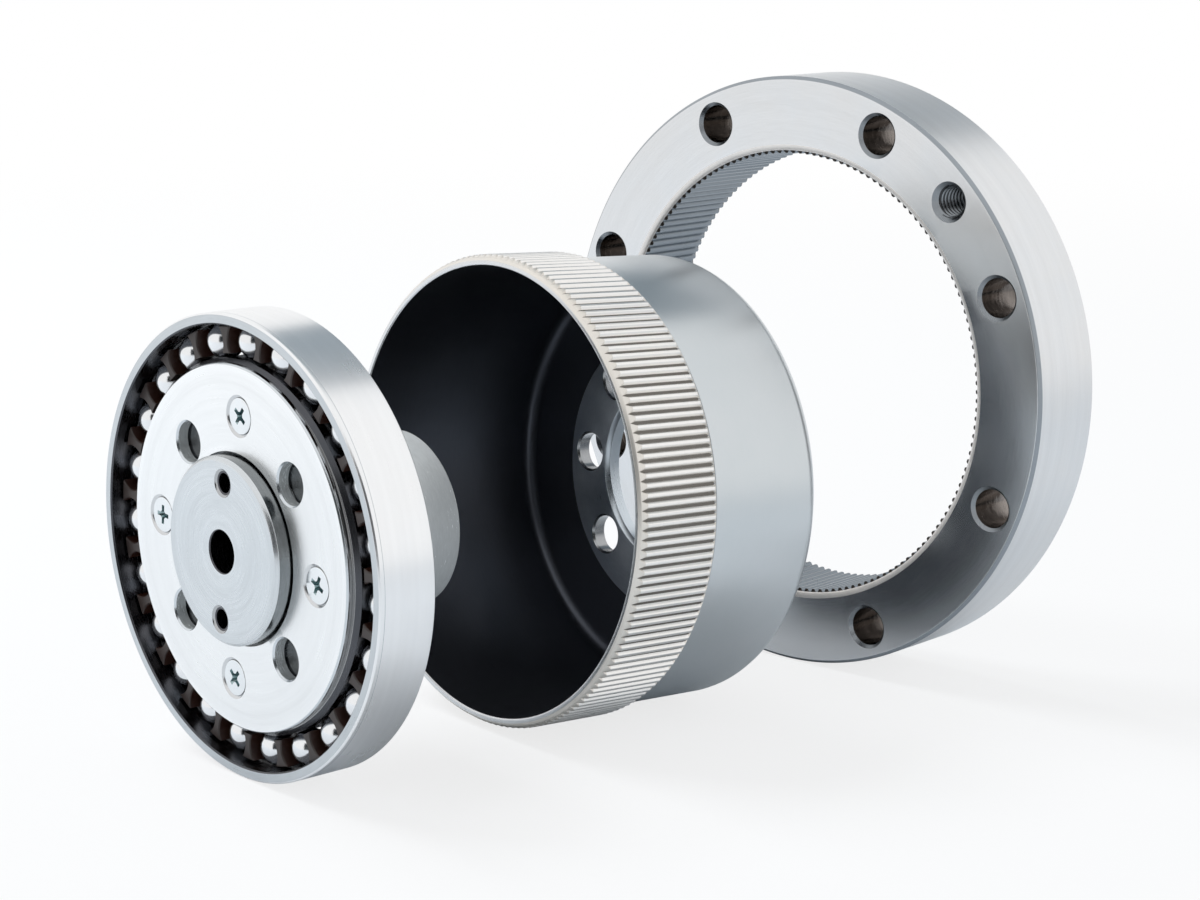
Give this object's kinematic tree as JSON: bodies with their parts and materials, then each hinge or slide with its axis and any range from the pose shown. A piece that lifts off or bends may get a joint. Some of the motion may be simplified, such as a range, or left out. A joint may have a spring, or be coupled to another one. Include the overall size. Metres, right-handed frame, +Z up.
{
  "type": "strain wave gear",
  "caption": "Strain wave gear laid out as its three groups: toothed ring, thin toothed cup and oval ball-bearing wave generator with an input hub.",
  "frame": {"origin": "centre of the circular spline's front face", "axes": "+Y along the circular spline's axis from its front face to its back, +Z up, +X to the right seen from the front"},
  "size_m": [0.1171, 0.1359, 0.11],
  "materials": {
    "ring_steel": "brushed",
    "cup_steel": "satin",
    "ground_steel": "ground",
    "race_steel": "polished",
    "ball_chrome": "mirror",
    "cage_resin": "satin",
    "plug_steel": "turned",
    "plate_steel": "turned",
    "screw_zinc": "bright",
    "insert_resin": "satin",
    "washer_steel": "satin",
    "hub_steel": "turned"
  },
  "bodies": {
    "ring": {"circular_spline": "ring_steel"},
    "cup": {"flexspline": "cup_steel"},
    "rotor": {"wave_plug": "plug_steel", "bearing_inner_ring": "race_steel", "bearing_outer_ring": "ground_steel", "ball_cage": "cage_resin", "ball_01": "ball_chrome", "ball_02": "ball_chrome", "ball_03": "ball_chrome", "ball_04": "ball_chrome", "ball_05": "ball_chrome", "ball_06": "ball_chrome", "ball_07": "ball_chrome", "ball_08": "ball_chrome", "ball_09": "ball_chrome", "ball_10": "ball_chrome", "ball_11": "ball_chrome", "ball_12": "ball_chrome", "ball_13": "ball_chrome", "ball_14": "ball_chrome", "ball_15": "ball_chrome", "ball_16": "ball_chrome", "ball_17": "ball_chrome", "ball_18": "ball_chrome", "ball_19": "ball_chrome", "ball_20": "ball_chrome", "ball_21": "ball_chrome", "ball_22": "ball_chrome", "ball_23": "ball_chrome", "retaining_plate": "plate_steel", "plate_screws": "screw_zinc", "rub_washer": "washer_steel"},
    "slider": {"coupling_insert": "insert_resin"},
    "hub": {"input_hub": "hub_steel"}
  },
  "joints": [
    {"name": "wave_generator_spin", "type": "hinge", "parent": "ring", "child": "rotor", "pos_m": [-0.0229, -0.1149, -0.01655], "axis": [0.1011, 0.9949, 0], "continuous": true},
    {"name": "flexspline_spin", "type": "hinge", "parent": "ring", "child": "cup", "pos_m": [-0.0122, -0.0677, -0.01332], "axis": [0.1338, 0.9895, -0.0545], "continuous": true},
    {"name": "insert_slide", "type": "slide", "parent": "rotor", "child": "slider", "axis": [0.0815, -0.0083, 0.9966], "range_m": [-0.00025, 0.00025]},
    {"name": "hub_slide", "type": "slide", "parent": "slider", "child": "hub", "axis": [0.9915, -0.1007, -0.0819], "range_m": [-0.00025, 0.00025]}
  ],
  "couplings": [
    {"joint": "flexspline_spin", "follows": "wave_generator_spin", "ratio": -0.0125}
  ]
}
